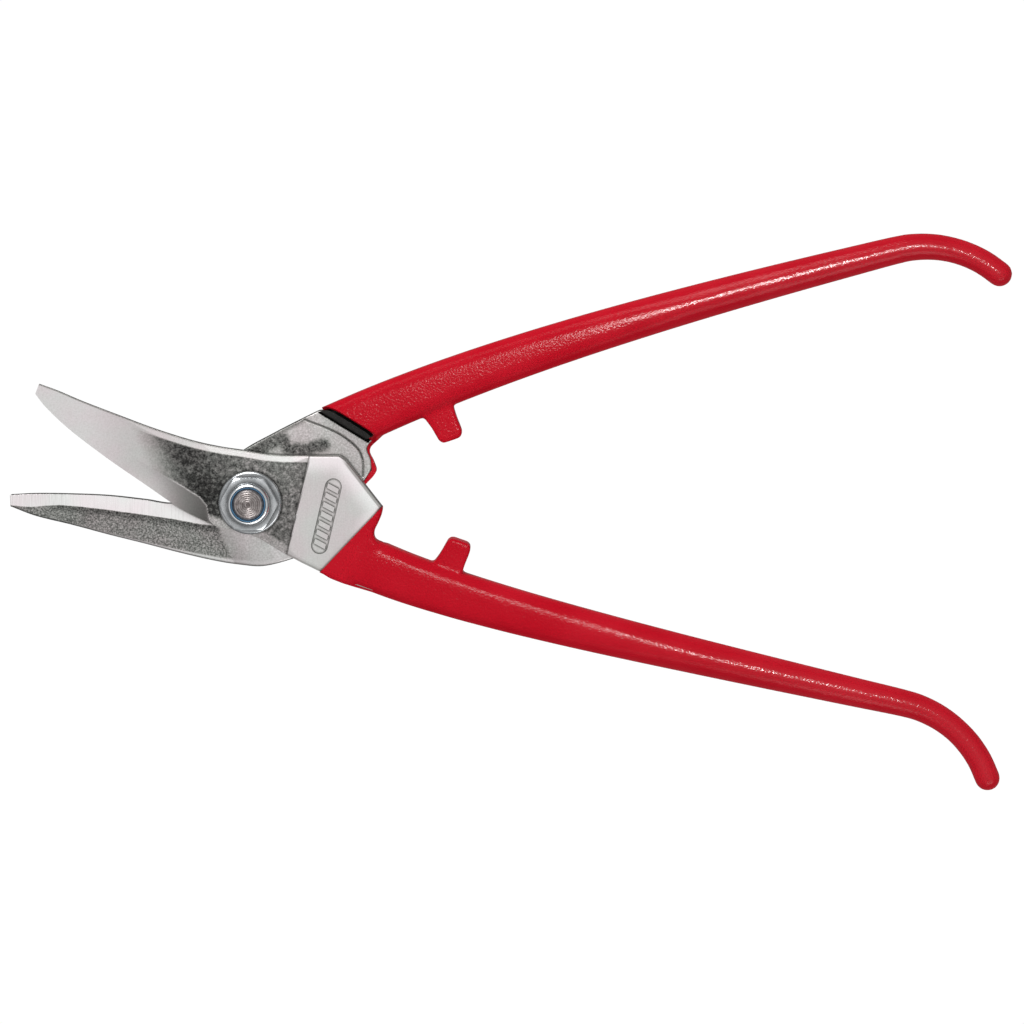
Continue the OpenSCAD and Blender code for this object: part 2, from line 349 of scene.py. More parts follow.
def handle_rows(handle):
    """Rows along a handle: an easing bar, then a hook of constant radius.

    Each row is x, y, half width and half thickness.
    """
    root_x, root_y, leaving, settled, easing, hook_x, hook_end = handle
    steep = math.tan(math.radians(leaving))
    gentle = math.tan(math.radians(settled))
    x = np.linspace(root_x, hook_x, 12)
    left = np.exp((root_x - x) / easing)
    y = root_y + gentle * (x - root_x) + (steep - gentle) * easing * (1 - left)
    heading = math.atan(gentle + (steep - gentle) * left[-1])
    turn = np.linspace(heading, math.radians(hook_end), 7)[1:]
    x = np.append(x, hook_x + HOOK_R * (math.sin(heading) - np.sin(turn)))
    y = np.append(y, y[-1] + HOOK_R * (np.cos(turn) - math.cos(heading)))
    taper = np.clip((x - root_x) / (TAPER_END - root_x), 0, 1)
    return np.column_stack([x, y, mix(*HANDLE_HALF_W, taper), mix(*HANDLE_HALF_T, taper)])


def handle_path(handle, inset):
    """Sections of a handle with its rounded end: x, y, half width, half thickness, heading."""
    path = spline(handle_rows(handle), 1.6)
    path[:, 2:4] -= inset
    heading = np.arctan2(np.gradient(path[:, 1]), np.gradient(path[:, 0]))
    end = path[-1]
    cap = []
    for a in np.radians([12, 24, 36, 48, 60, 70, 79, 86]):
        forward = end[2] * math.sin(a)
        x = end[0] + forward * math.cos(heading[-1])
        y = end[1] + forward * math.sin(heading[-1])
        cap.append((x, y, end[2] * math.cos(a), end[3] * math.cos(a), heading[-1]))
    return np.vstack([np.column_stack([path, heading]), cap])


def loft(name, handle, inset, sides=48):
    """A handle: boxy at the head and round towards its end."""
    path = handle_path(handle, inset)
    angle = 2 * np.pi * (np.arange(sides) + 0.5) / sides
    points = []
    for x, y, half_w, half_t, heading in path:
        power = 2 + 3 * np.clip((ROUND_X - x) / (ROUND_X - BOXY_X), 0, 1)
        across = half_w * np.sign(np.cos(angle)) * np.abs(np.cos(angle)) ** (2 / power)
        height = half_t * np.sign(np.sin(angle)) * np.abs(np.sin(angle)) ** (2 / power)
        plan = [x - across * math.sin(heading), y + across * math.cos(heading)]
        points.append(np.stack([*plan, SHEAR_Z + height], -1))
    faces = []
    for i in range(len(path) - 1):
        for k in range(sides):
            j = (k + 1) % sides
            faces.append([i * sides + k, i * sides + j, (i + 1) * sides + j, (i + 1) * sides + k])
    faces.append(list(range(sides)))
    faces.append([(len(path) - 1) * sides + k for k in range(sides)])
    return mesh_object(name, np.concatenate(points), faces)


def prism(name, outline, origin, across, along, depth):
    """An outline in the plane of across and along, swept both ways out of it by depth."""
    across, along = np.asarray(across, float), np.asarray(along, float)
    out = np.cross(across, along)
    flat = np.array([np.asarray(origin, float) + a * across + b * along for a, b in outline])
    n = len(outline)
    faces = [list(range(n)), list(range(2 * n - 1, n - 1, -1))]
    faces += [[i, (i + 1) % n, n + (i + 1) % n, n + i] for i in range(n)]
    return mesh_object(name, np.concatenate([flat - out * depth, flat + out * depth]), faces)


def lathe(name, profile, segments=96):
    """A solid of revolution about the pivot axis from a closed profile of radius and height."""
    angle = 2 * np.pi * np.arange(segments) / segments
    rings = [np.stack([r * np.cos(angle), r * np.sin(angle), np.full(segments, z)], -1) for r, z in profile]
    faces = []
    for i in range(len(profile)):
        j = (i + 1) % len(profile)
        for k in range(segments):
            m = (k + 1) % segments
            faces.append([i * segments + k, i * segments + m, j * segments + m, j * segments + k])
    return mesh_object(name, np.concatenate(rings), faces)


def hexagon(name, af, low, high):
    """A hexagonal prism with a corner on the X axis."""
    radius = af / 2 / math.cos(math.radians(30))
    turns = np.radians(60 * np.arange(6))
    outline = [(radius * math.cos(a), radius * math.sin(a)) for a in turns]
    return prism(name, outline, (0, 0, (low + high) / 2), (1, 0, 0), (0, 1, 0), (high - low) / 2)


# ---------------------------------------------------------------- cutters and lugs


def beyond_axes(line):
    """The direction along a line and the direction away from the pivot."""
    a, b = np.array(line[0]), np.array(line[1])
    way = (b - a) / np.linalg.norm(b - a)
    away = np.array([-way[1], way[0]])
    if away @ a < 0:
        away = -away
    return np.append(way, 0), np.append(away, 0)


def step_wedge(line, up, sink, setback=0.0):
    """One side of the shear plane up to a step wall, cut sink deeper than the head's own face."""
    away = beyond_axes(line)[1]
    rise = 2 * HEAD_T
    gap = FRONT_Z - SHEAR_Z + sink
    outline = [(-FAR, -gap), (setback, -gap), (setback + LEAN_SLOPE * rise, rise), (-FAR, rise)]
    return prism("wedge", outline, (*line[0], SHEAR_Z), away, UP * up, FAR)


def bare_side(line):
    """Everything on the pivot's side of a dip line."""
    away = beyond_axes(line)[1]
    outline = [(-FAR, -40), (0, -40), (0, 40), (-FAR, 40)]
    return prism("bare", outline, (*line[0], SHEAR_Z), away, UP, FAR)


def lug(name, line, half_w, half_t, flare):
    """A stop lug: its foot flares into the handle on the head's side, and its nose is rounded."""
    way, _ = beyond_axes(line)
    side = np.cross(UP, way)
    length = math.dist(*line) - LUG_HALF_W + half_w
    nose, wide_foot, foot_end = 1.5, 4.2, 10.7
    rounded = length - nose + nose * np.sin(np.linspace(0.1, 1.5, 8))
    t = np.concatenate([np.linspace(0, length - nose, 24), rounded])
    over = np.clip(t - (length - nose), 0, nose)
    widths = half_w + 0.25 * fade(6, 10, t) - nose + np.sqrt(nose**2 - over**2)
    foot = flare * np.clip(1 - (t - wide_foot) / (foot_end - wide_foot), 0, 1) ** 1.3
    head_side = 1 if side[0] < 0 else -1
    near = head_side * (widths + foot)
    far = -head_side * (widths + 0.1 * foot)
    outline = [*zip(t, near), *zip(t[::-1], far[::-1])]
    return prism(name, outline, (*line[0], SHEAR_Z), way, side, half_t)


# ---------------------------------------------------------------- the levers


def cut_axes(x, y):
    """How far a point lies along the front blade's cut from its heel, and how far above it."""
    way = np.subtract(CUT_TIP, CUT_HEEL) / math.dist(CUT_TIP, CUT_HEEL)
    along = (x - CUT_HEEL[0]) * way[0] + (y - CUT_HEEL[1]) * way[1]
    above = (x - CUT_HEEL[0]) * way[1] - (y - CUT_HEEL[1]) * way[0]
    return along, above


def below_land(x, y):
    """How far a point lies below the rear blade's ground land."""
    border = np.array(LAND_BORDER)
    return np.interp(x, border[:, 0], border[:, 1]) - y


def past_ridge(x, y):
    """How far a point lies past the ridge, beyond which the rear blade's relief runs out."""
    return x - RIDGE_FOOT[0] + RIDGE_LEAN * (y - RIDGE_FOOT[1])


def front_head():
    """The front lever's head and blade."""
    x, y, upper, lower = ribbon(FRONT_RIBBON, FRONT_CORNERS)
    to_upper = distance(x, y, upper[::3])
    to_lower = distance(x, y, lower[::3])
    along, above = cut_axes(x, y)
    edge_z = FRONT_Z + EDGE_T
    thinning = np.maximum(NUT_FACE_Z - (edge_z + math.tan(math.radians(GRIND_ANGLE)) * above), 0)
    top = NUT_FACE_Z - thinning * fade(-1, 18, along)
    bevel = np.interp(along, BEVEL_ALONG, BEVEL_WIDTH)
    ratio = np.clip(to_lower / bevel, 0, 1)
    ground = edge_z - 0.3 + (top - edge_z + 0.3) * ratio
    top = np.where((along > -5) & (along < 24), top + (ground - top) * (1 - fade(12, 24, along)), top)
    top = top + (PAD_Z - NUT_FACE_Z) * fade(-0.25, 0.25, past(x, y, PAD_LINE))
    upper_w = 1.6 * fade(-36, -20, x) - 1.1 * fade(11, 15, x) + 0.8 * fade(22, 25, x)
    lower_w = 2.2 * fade(-10, -5, x) - 1.2 * fade(8, 12, x)
    top = top - bevelled(to_upper, upper_w) - rounding(to_upper, 0.15) - bevelled(to_lower, lower_w)
    lower_round = 0.05 + 0.25 * fade(-10, -5, x)
    bottom = FRONT_Z + rounding(to_upper, 0.3) + rounding(to_lower, lower_round)
    return shell("front_lever_forging", x, y, np.maximum(top, bottom + 0.6), bottom)


def rear_head():
    """The rear lever's head and blade."""
    x, y, upper, lower = ribbon(REAR_RIBBON, REAR_CORNERS, columns=110)
    to_upper = distance(x, y, upper[::3])
    to_lower = distance(x, y, lower[::3])
    below = np.maximum(below_land(x, y), 0)
    remaining = np.clip(1 - np.maximum(past_ridge(x, y), 0) / RUN_OUT, 0, 1) ** 1.3
    relief = math.tan(math.radians(RELIEF_ANGLE)) * below * remaining
    top = REAR_Z - relief
    top = top - 0.25 * np.exp(-((distance(x, y, spline(SCORE_LINE, 1)) / 0.24) ** 2))
    upper_round = 0.05 + 0.5 * fade(-19, -12, x)
    top = top - rounding(to_upper, upper_round) - rounding(to_lower, 0.6)
    bottom = BOLT_HEAD_H + rounding(to_upper, 0.5) + rounding(to_lower, 0.7)
    return shell("rear_lever_forging", x, y, np.maximum(top, bottom + 0.6), bottom)


def bore():
    return lathe("bore", [(0, 0), (BORE_R, 0), (BORE_R, 30), (0, 30)], 96)


def stamp():
    """The sunken badge field on the ground pad with plain raised bars left standing in it."""
    centre = (19.3, -3.4, PAD_Z)
    tilt = math.radians(76.7)
    way = np.array([math.cos(tilt), math.sin(tilt), 0])
    side = np.cross(UP, way)
    half_l, half_w, depth = 9.8, 2.15, 0.5
    turns = np.linspace(-np.pi / 2, np.pi / 2, 17)
    nose = [(half_l - half_w + half_w * math.cos(a), half_w * math.sin(a)) for a in turns]
    tail = [(-a, -b) for a, b in nose]
    field = prism("stamp", nose + tail, centre, way, side, depth)
    bars, spread = 7, 7.2
    slant, half_bar, reach = 0.4, 0.62, 1.5
    for offset in np.linspace(-spread, spread, bars):
        bar = [(offset - half_bar - slant, -reach), (offset + half_bar - slant, -reach),
               (offset + half_bar + slant, reach), (offset - half_bar + slant, reach)]
        combine(field, prism("bar", bar, centre, way, side, 2 * depth), "DIFFERENCE")
    return field


def forging(head, handle, lug_line, step_line, up):
    """A head with its tang and the core of its stop lug, cleared for the other lever and bored."""
    tang = loft("tang", handle, COAT)
    combine(tang, lug("lug_core", lug_line, LUG_HALF_W - COAT, LUG_HALF_T - COAT, 1.2), "UNION")
    combine(tang, step_wedge(step_line, up, 0.6), "DIFFERENCE")
    combine(head, tang, "UNION")
    combine(head, bore(), "DIFFERENCE")
    return head


def coat_slab(pairs, corners, dip_line, low, high):
    """The coating round the end of a head: thin at the dip line, sunk into the handle at its far end."""
    x, y, upper, lower = ribbon(pairs, corners, columns=12)
    out = (upper - lower) / np.linalg.norm(upper - lower, axis=1)[:, None]
    upper = upper + out * mix(0.3, COAT, fade(0, 3, past(*upper.T, dip_line)))[:, None]
    lower = lower - out * mix(0.3, COAT, fade(0, 3, past(*lower.T, dip_line)))[:, None]
    u = np.linspace(0, 1, x.shape[1])
    x = upper[:, 0:1] + (lower[:, 0:1] - upper[:, 0:1]) * u
    y = upper[:, 1:2] + (lower[:, 1:2] - upper[:, 1:2]) * u
    sunk = fade(SLAB_SINKS[0], SLAB_SINKS[1], past(x, y, dip_line))
    return shell("slab", x, y, mix(high, SHEAR_Z + 2, sunk), mix(low, SHEAR_Z - 2, sunk))


def grip(name, steel, handle, lug_line, slab, dip_line, step_line, up):
    """The dipped coating: one soft skin over the handle, hollow where the steel is."""
    skin = loft(name, handle, 0)
    combine(skin, lug("lug_skin", lug_line, LUG_HALF_W, LUG_HALF_T, 1.9), "UNION")
    combine(skin, slab, "UNION")
    remesh = skin.modifiers.new("remesh", "REMESH")
    remesh.mode = "VOXEL"
    remesh.voxel_size = 0.42 * MM
    soften = skin.modifiers.new("soften", "SMOOTH")
    soften.factor = 0.5
    soften.iterations = 10
    apply_modifiers(skin)
    combine(skin, step_wedge(step_line, up, 0.4, COAT), "DIFFERENCE")
    combine(skin, bare_side(dip_line), "DIFFERENCE")
    combine(skin, copy_of(steel), "DIFFERENCE")
    return skin


# ---------------------------------------------------------------- the pivot


def pivot_bolt():
    """Hexagon bolt with a square neck, seen from above by its turned end."""
    head = hexagon("pivot_bolt_m8", HEX_AF, 0, BOLT_HEAD_H)
    chamfer = [(0, 0), (6.1, 0), (7.6, 0.85), (7.6, BOLT_HEAD_H), (0, BOLT_HEAD_H)]
    combine(head, lathe("chamfer", chamfer), "INTERSECT")
    half = 4.2
    neck = [(-half, -half), (half, -half), (half, half), (-half, half)]
    combine(head, prism("neck", neck, (0, 0, BOLT_HEAD_H + 1), (1, 0, 0), (0, 1, 0), 1.5), "UNION")
    end = BOLT_END_Z
    shank = [(0, 3), (SHANK_R, 3), (SHANK_R, end - 0.6), (3.55, end - 0.1), (3.4, end)]
    for radius in np.arange(3.1, 0.6, -0.5):
        shank += [(radius, end), (radius - 0.12, end - 0.07), (radius - 0.24, end)]
    shank += [(0.5, end), (0.12, end - 0.4), (0, end - 0.4)]
    combine(head, lathe("shank", shank), "UNION")
    return head


def pivot_washer():
    low, high = NUT_FACE_Z, NUT_FACE_Z + WASHER_T
    hole, rim = WASHER_HOLE_R, WASHER_R
    profile = [(hole, low), (rim - 0.3, low), (rim - 0.05, low + 0.25), (rim, low + 0.6), (rim, high - 0.5),
               (rim - 0.15, high - 0.18), (rim - 0.5, high), (hole + 0.2, high), (hole, high - 0.2)]
    return lathe("pivot_washer_16", profile, 128)


def lock_nut():
    """Lock nut: chamfered hexagon with a rolled collar that holds the nylon ring."""
    nut = hexagon("lock_nut_13", HEX_AF, NUT_Z, NUT_Z + NUT_HEX_H)
    top = NUT_Z + NUT_HEX_H
    chamfer = [(0, NUT_Z), (6.5, NUT_Z), (7.55, NUT_Z + 0.6), (7.55, top - 0.55), (6.75, top), (0, top)]
    combine(nut, lathe("chamfer", chamfer), "INTERSECT")
    rim = NUT_Z + NUT_H
    collar = [(0, NUT_Z + 1), (COLLAR_R, NUT_Z + 1), (COLLAR_R, rim - 1.0), (5.33, rim - 0.55),
              (5.0, rim - 0.15), (4.72, rim - 0.05), (4.5, rim - 0.12), (4.44, rim - 0.3),
              (4.44, rim - 2.1), (0, rim - 2.1)]
    combine(nut, lathe("collar", collar), "UNION")
    hole = [(0, NUT_Z - 1), (NUT_HOLE_R, NUT_Z - 1), (NUT_HOLE_R, rim + 1), (0, rim + 1)]
    combine(nut, lathe("hole", hole), "DIFFERENCE")
    return nut


def nut_insert():
    low, high = NUT_Z + NUT_H - 2.08, NUT_Z + NUT_H - 0.3
    profile = [(4.04, low), (4.42, low), (4.42, high - 0.12), (4.3, high), (4.14, high),
               (4.04, high - 0.12)]
    return lathe("nut_locking_ring", profile, 96)


# ---------------------------------------------------------------- painted regions


def paint(obj, masks):
    """Stores named masks, one number for each vertex, for the materials to read."""
    for name, values in masks.items():
        layer = obj.data.attributes.new(name, "FLOAT", "POINT")
        layer.data.foreach_set("value", np.ascontiguousarray(values, np.float32))


def surface(obj):
    """Vertex positions in millimetres, and how far each vertex normal points up."""
    n = len(obj.data.vertices)
    place = np.empty(n * 3, np.float32)
    obj.data.vertices.foreach_get("co", place)
    normal = np.empty(n * 3, np.float32)
    obj.data.vertices.foreach_get("normal", normal)
    place = place.reshape(-1, 3) / MM
    return place[:, 0], place[:, 1], place[:, 2], normal.reshape(-1, 3)[:, 2]


def paint_front(obj):
    """Bright blade and pad, with a dark polished field round the nut, a painted highlight on the pad's
    corner and along the bevel's crease, and a painted shadow along the upper edge.
    """
    x, y, _, up = surface(obj)
    rows = spline(FRONT_RIBBON, 1, FRONT_CORNERS)
    to_upper = distance(x, y, rows[:, 0:2])
    to_lower = distance(x, y, rows[:, 2:4])
    along, _ = cut_axes(x, y)
    pad = fade(-0.15, 0.15, past(x, y, PAD_LINE))
    bevel = np.interp(along, BEVEL_ALONG, BEVEL_WIDTH)
    in_bevel = (1 - fade(-0.2, 0.2, to_lower - bevel)) * fade(-6, -4, along) * (1 - fade(13, 24, along))
    band = (1 - fade(1.4, 1.8, to_upper)) * fade(-36, -24, x)
    heel = (1 - fade(1.7, 2.6, to_lower)) * fade(-13, -9, x)
    # Painted shadow: a dark line along the upper edge, next to the rear head.
    outline = 1 - fade(0.1, 0.35, to_upper)
    # Painted highlight: a thin bright line along the crease where the bevel meets the blade's face.
    ridge = np.exp(-(((to_lower - bevel) / 0.16) ** 2)) * fade(-5, -3, along) * (1 - fade(8, 14, along))
    lit_corner = (1 - fade(0.6, 6, to_upper)) * pad
    upper_rim = (1 - fade(0.65, 0.9, to_upper)) * fade(23, 25, x)
    pad_rim = np.maximum(upper_rim, 1 - fade(0.4, 0.6, to_lower)) * pad
    near_nut = fade(-27, -15, x + 0.35 * (y - 8)) * (1 - pad)
    tone = mix(0.93, 0.84, fade(-44, -26, x))
    deepest = 1 - fade(2, 9, np.hypot(x + 10, y - 1.5))
    tone = mix(tone, mix(0.3, 0.47, fade(-16, -2, x)) - 0.14 * deepest, near_nut)
    tone = mix(tone, 0.72, heel * (1 - pad))
    tone = mix(tone, mix(0.84, 0.6, fade(-24, -11, x)), in_bevel)
    # Painted highlight along the bevel's crease.
    tone = mix(tone, 0.95, ridge)
    tone = mix(tone, 0.85, band * (1 - pad))
    tone = mix(tone, 0.83, pad)
    tone = mix(tone, 1.0, lit_corner)
    tone = mix(tone, 0.7, pad_rim)
    # Painted shadow along the upper edge.
    tone = mix(tone, 0.55, outline)
    grain = mix(0.1, 0.5, near_nut * (1 - in_bevel) * (1 - band))
    grain = mix(grain, 0.08, pad)
    top = fade(0.2, 0.6, up)
    tone = mix(0.6, tone, top)
    grain = mix(0.15, grain, top)
    blotch = near_nut * top * (1 - in_bevel) * (1 - band) * (1 - pad) * (1 - heel)
    streak = np.where(up < -0.5, 0.6, 0.1 * pad * top + 0.06)
    paint(obj, {"tone": tone, "grain": grain, "blotch": blotch, "streak": streak})


def paint_rear(obj):
    """Bright land, blasted relief, scarred forged head, and a step wall painted black as shade."""
    x, y, z, up = surface(obj)
    rows = spline(REAR_RIBBON, 1, REAR_CORNERS)
    to_upper = distance(x, y, rows[:, 0:2])
    to_lower = distance(x, y, rows[:, 2:4])
    below = below_land(x, y)
    ridge = past_ridge(x, y)
    relief = fade(-0.1, 0.15, below) * (1 - fade(-0.5, 1.0, ridge))
    lobe = fade(-0.1, 0.3, below) * fade(-0.5, 1.0, ridge) * (1 - fade(10, 13, ridge))
    land = (1 - fade(-0.1, 0.15, below)) * (1 - fade(-14, -8, x))
    tone = np.full_like(x, 0.79)
    tone = mix(tone, mix(0.95, 1.0, fade(-52, -40, x)), land)
    hollow = mix(0.56, 0.38, (1 - fade(0.4, 2.4, below)) * fade(-54, -46, x))
    tone = mix(tone, hollow, relief)
    tone = mix(tone, mix(0.77, 0.86, fade(0, 8, ridge)), lobe)
    tone = mix(tone, 0.93, fade(10, 12, ridge) * fade(0, 1, below))
    scar = 1 - fade(0.6, 2.4, distance(x, y, SCAR))
    tone = mix(tone, 0.4, scar)
    shadow_side = (1 - fade(0.3, 1.6, to_upper)) * fade(-6, 0, x) * (1 - fade(13, 16, x))
    tone = mix(tone, 0.5, shadow_side)
    score = np.exp(-((distance(x, y, spline(SCORE_LINE, 1)) / 0.2) ** 2))
    tone = mix(tone, 0.5, score)
    grain = mix(0.3, 0.04, land)
    grain = mix(grain, 0.85, relief)
    grain = mix(grain, 0.25, lobe)
    grain = mix(grain, 0.6, scar)
    rim_w = mix(0.6, 1.4, fade(-30, 0, x))
    rim = (1 - fade(0.7, 1.2, to_lower / rim_w)) * fade(-50, -30, x) * (x < 12)
    tone = mix(tone, 0.9, rim)
    grain = mix(grain, 0.15, rim)
    top = fade(0.2, 0.6, up)
    # Painted shade: faces that lean away from straight up or down, such as rounded edges, are darkened.
    tone = mix(0.5, tone, top) * mix(0.8, 1, fade(0.6, 0.95, np.abs(up)))
    grain = mix(0.2, grain, top)
    # Painted shade: the step wall faces away from the light and is painted black.
    wall = ((z > REAR_Z - 0.05) & (past(x, y, REAR_STEP) > -0.1)).astype(float)
    tone = mix(tone, 0.0, wall)
    grain = mix(grain, 0.0, wall)
    streak = np.where(up < -0.5, 0.6, land * top)
    paint(obj, {"tone": tone, "grain": grain, "blotch": scar * top, "streak": streak * (1 - wall)})


# ---------------------------------------------------------------- materials


class Shader:
    """Short calls for building one material's node tree."""

    def __init__(self, name):
        self.material = bpy.data.materials.new(name)
        self.material.use_nodes = True
        self.tree = self.material.node_tree
        self.surface = self.tree.nodes["Principled BSDF"]
        self.coordinates = self.add("ShaderNodeTexCoord").outputs["Object"]

    def add(self, kind, **settings):
        node = self.tree.nodes.new(kind)
        for key, value in settings.items():
            setattr(node, key, value)
        return node

    def put(self, value, socket):
        """Sets a socket to a number or colour, or links an output to it."""
        if isinstance(value, bpy.types.NodeSocket):
            self.tree.links.new(value, socket)
        else:
            socket.default_value = value

    def set(self, **values):
        for key, value in values.items():
            self.put(value, self.surface.inputs[key.replace("_", " ")])

    def math(self, operation, a, b=0.0, clamp=False):
        node = self.add("ShaderNodeMath", operation=operation, use_clamp=clamp)
        self.put(a, node.inputs[0])
        self.put(b, node.inputs[1])
        return node.outputs[0]

    def mask(self, name):
        return self.add("ShaderNodeAttribute", attribute_name=name).outputs["Fac"]

    def noise(self, size, detail=3.0, stretch=(1, 1, 1)):
        """Noise whose features are about size millimetres across."""
        place = self.add("ShaderNodeMapping")
        place.inputs["Scale"].default_value = stretch
        self.put(self.coordinates, place.inputs["Vector"])
        node = self.add("ShaderNodeTexNoise")
        node.inputs["Scale"].default_value = 1 / (size * MM)
        node.inputs["Detail"].default_value = detail
        self.put(place.outputs[0], node.inputs["Vector"])
        return node.outputs["Fac"]

    def openness(self, reach):
        """1 on open faces, less within reach millimetres of a corner."""
        node = self.add("ShaderNodeAmbientOcclusion", samples=6)
        node.inputs["Distance"].default_value = reach * MM
        return node.outputs["AO"]

    def blended(self, first, second, amount, how="MIX"):
        """Two colours blended by an amount from 0 to 1."""
        node = self.add("ShaderNodeMix", data_type="RGBA", blend_type=how)
        self.put(amount, node.inputs["Factor"])
        self.put(first, node.inputs[6])
        self.put(second, node.inputs[7])
        return node.outputs[2]

    def ramp(self, value, *stops):
        """Colours at positions along value."""
        node = self.add("ShaderNodeValToRGB")
        self.put(value, node.inputs[0])
        elements = node.color_ramp.elements
        while len(elements) < len(stops):
            elements.new(0.5)
        for element, (place, colour) in zip(elements, stops):
            element.position = place
            element.color = (*colour, 1)
        return node.outputs[0]

    def bump(self, height, depth, strength=1.0):
        """A normal from a height of 0 to 1 that stands for depth millimetres."""
        node = self.add("ShaderNodeBump")
        node.inputs["Distance"].default_value = depth * MM
        node.inputs["Strength"].default_value = strength
        self.put(height, node.inputs["Height"])
        self.put(node.outputs[0], self.surface.inputs["Normal"])


def forged_steel():
    """Ground and blasted steel, driven by the painted masks and with painted shade in its corners."""
    s = Shader("forged_steel")
    fine = s.math("SUBTRACT", s.noise(0.42, 2), 0.5)
    coarse = s.math("SUBTRACT", s.noise(1.1, 6), 0.5)
    lines = s.math("SUBTRACT", s.noise(0.9, 3, (3.2, 0.12, 1)), 0.5)
    tone = s.mask("tone")
    tone = s.math("ADD", tone, s.math("MULTIPLY", s.math("MULTIPLY", fine, 1.3), s.mask("grain")))
    tone = s.math("ADD", tone, s.math("MULTIPLY", s.math("MULTIPLY", coarse, 0.8), s.mask("blotch")))
    streaks = s.math("MULTIPLY", s.math("MULTIPLY", lines, 0.3), s.mask("streak"))
    tone = s.math("ADD", tone, streaks, clamp=True)
    # Painted shade: the tone is darkened near corners and creases.
    tone = s.math("MULTIPLY", tone, s.openness(0.6))
    grey = [(0.0, (0.003, 0.003, 0.003)), (0.25, (0.05, 0.05, 0.048)), (0.5, (0.215, 0.215, 0.205)),
            (0.75, (0.53, 0.51, 0.5)), (1.0, (1.0, 0.97, 0.98))]
    rough = s.math("ADD", s.math("MULTIPLY", s.mask("grain"), 0.15), 0.36)
    # Reflection follows the painted tone, so the step wall painted black as shade reflects nothing.
    shine = s.math("MULTIPLY", s.mask("tone"), 0.9, clamp=True)
    cast = s.ramp(s.noise(9, 2), (0.35, (1.0, 0.955, 0.965)), (0.65, (0.965, 1.0, 0.975)))
    colour = s.blended(s.ramp(tone, *grey), cast, 1, "MULTIPLY")
    s.set(Base_Color=colour, Metallic=0.75, Roughness=rough, Specular_IOR_Level=shine)
    s.bump(s.math("MULTIPLY", s.noise(0.42, 2), s.mask("grain")), 0.12, 0.6)
    return s.material


def red_coating():
    """Dipped vinyl with a fine pebble, glossier towards the hand's end."""
    s = Shader("red_coating")
    spot = s.add("ShaderNodeSeparateXYZ")
    s.put(s.coordinates, spot.inputs[0])
    gloss = s.add("ShaderNodeMapRange", interpolation_type="SMOOTHSTEP")
    s.put(spot.outputs["X"], gloss.inputs["Value"])
    for name, value in {"From Min": 0.07, "From Max": 0.15, "To Min": 0.02, "To Max": 0.17}.items():
        gloss.inputs[name].default_value = value
    tint = s.ramp(s.noise(14, 2), (0.3, (0.48, 0.005, 0.015)), (0.7, (0.53, 0.009, 0.021)))
    s.set(Base_Color=tint, Roughness=0.17, Specular_IOR_Level=gloss.outputs["Result"])
    s.bump(s.noise(0.55, 2), 0.1, 0.6)
    return s.material


def bolt_steel():
    """Zinc-plated, with the bare turned end showing in the nut."""
    s = Shader("bolt_steel")
    height = s.add("ShaderNodeSeparateXYZ")
    s.put(s.coordinates, height.inputs[0])
    bare = s.math("GREATER_THAN", height.outputs["Z"], (BOLT_END_Z - 3) * MM)
    plated = s.ramp(s.noise(2.2, 4), (0.3, (0.42, 0.44, 0.45)), (0.7, (0.60, 0.62, 0.63)))
    turned = s.ramp(s.noise(0.9, 4), (0.3, (0.18, 0.155, 0.15)), (0.7, (0.46, 0.42, 0.41)))
    colour = s.blended(plated, turned, bare)
    s.set(Base_Color=colour, Metallic=0.85, Roughness=0.32)
    return s.material


def zinc_plate():
    s = Shader("zinc_plate")
    colour = s.ramp(s.noise(2.2, 4), (0.3, (0.66, 0.69, 0.71)), (0.7, (0.88, 0.90, 0.92)))
    # Painted shade: the plating is darkened where faces close in, as next to the nut's collar.
    colour = s.blended(colour, s.math("POWER", s.openness(2.4), 2.9), 1, "MULTIPLY")
    s.set(Base_Color=colour, Metallic=1.0, Roughness=0.24)
    s.bump(s.noise(1.6, 2), 0.1, 0.3)
    return s.material


def blue_nylon():
    s = Shader("blue_nylon")
    s.set(Base_Color=(0.06, 0.16, 0.28, 1), Roughness=0.4)
    return s.material


# ---------------------------------------------------------------- the set


def floor():
    """A white bench the snips lie on, clear from below and left out of their reflections."""
    size = 3000
    corners = [(-size, -size, 0), (size, -size, 0), (size, size, 0), (-size, size, 0)]
    obj = mesh_object("bench", corners, [[0, 1, 2, 3]])
    obj.location.z = -0.02 * MM
    s = Shader("bench_white")
    glow = s.add("ShaderNodeEmission")
    glow.inputs["Strength"].default_value = 1.02
    sides = s.add("ShaderNodeMixShader")
    s.put(s.add("ShaderNodeNewGeometry").outputs["Backfacing"], sides.inputs[0])
    s.put(glow.outputs[0], sides.inputs[1])
    s.put(s.add("ShaderNodeBsdfTransparent").outputs[0], sides.inputs[2])
    s.put(sides.outputs[0], s.tree.nodes["Material Output"].inputs["Surface"])
    obj.data.materials.append(s.material)
    obj.visible_glossy = False
    return obj


def lamp(name, place, aim, size, watts):
    """A soft rectangular light, placed and sized in millimetres."""
    data = bpy.data.lights.new(name, "AREA")
    data.shape = "RECTANGLE"
    data.size, data.size_y = size[0] * MM, size[1] * MM
    data.energy = watts
    obj = bpy.data.objects.new(name, data)
    obj.location = Vector(place) * MM
    obj.rotation_euler = (Vector(aim) - Vector(place)).to_track_quat("-Z", "Y").to_euler()
    bpy.context.scene.collection.objects.link(obj)
    return obj


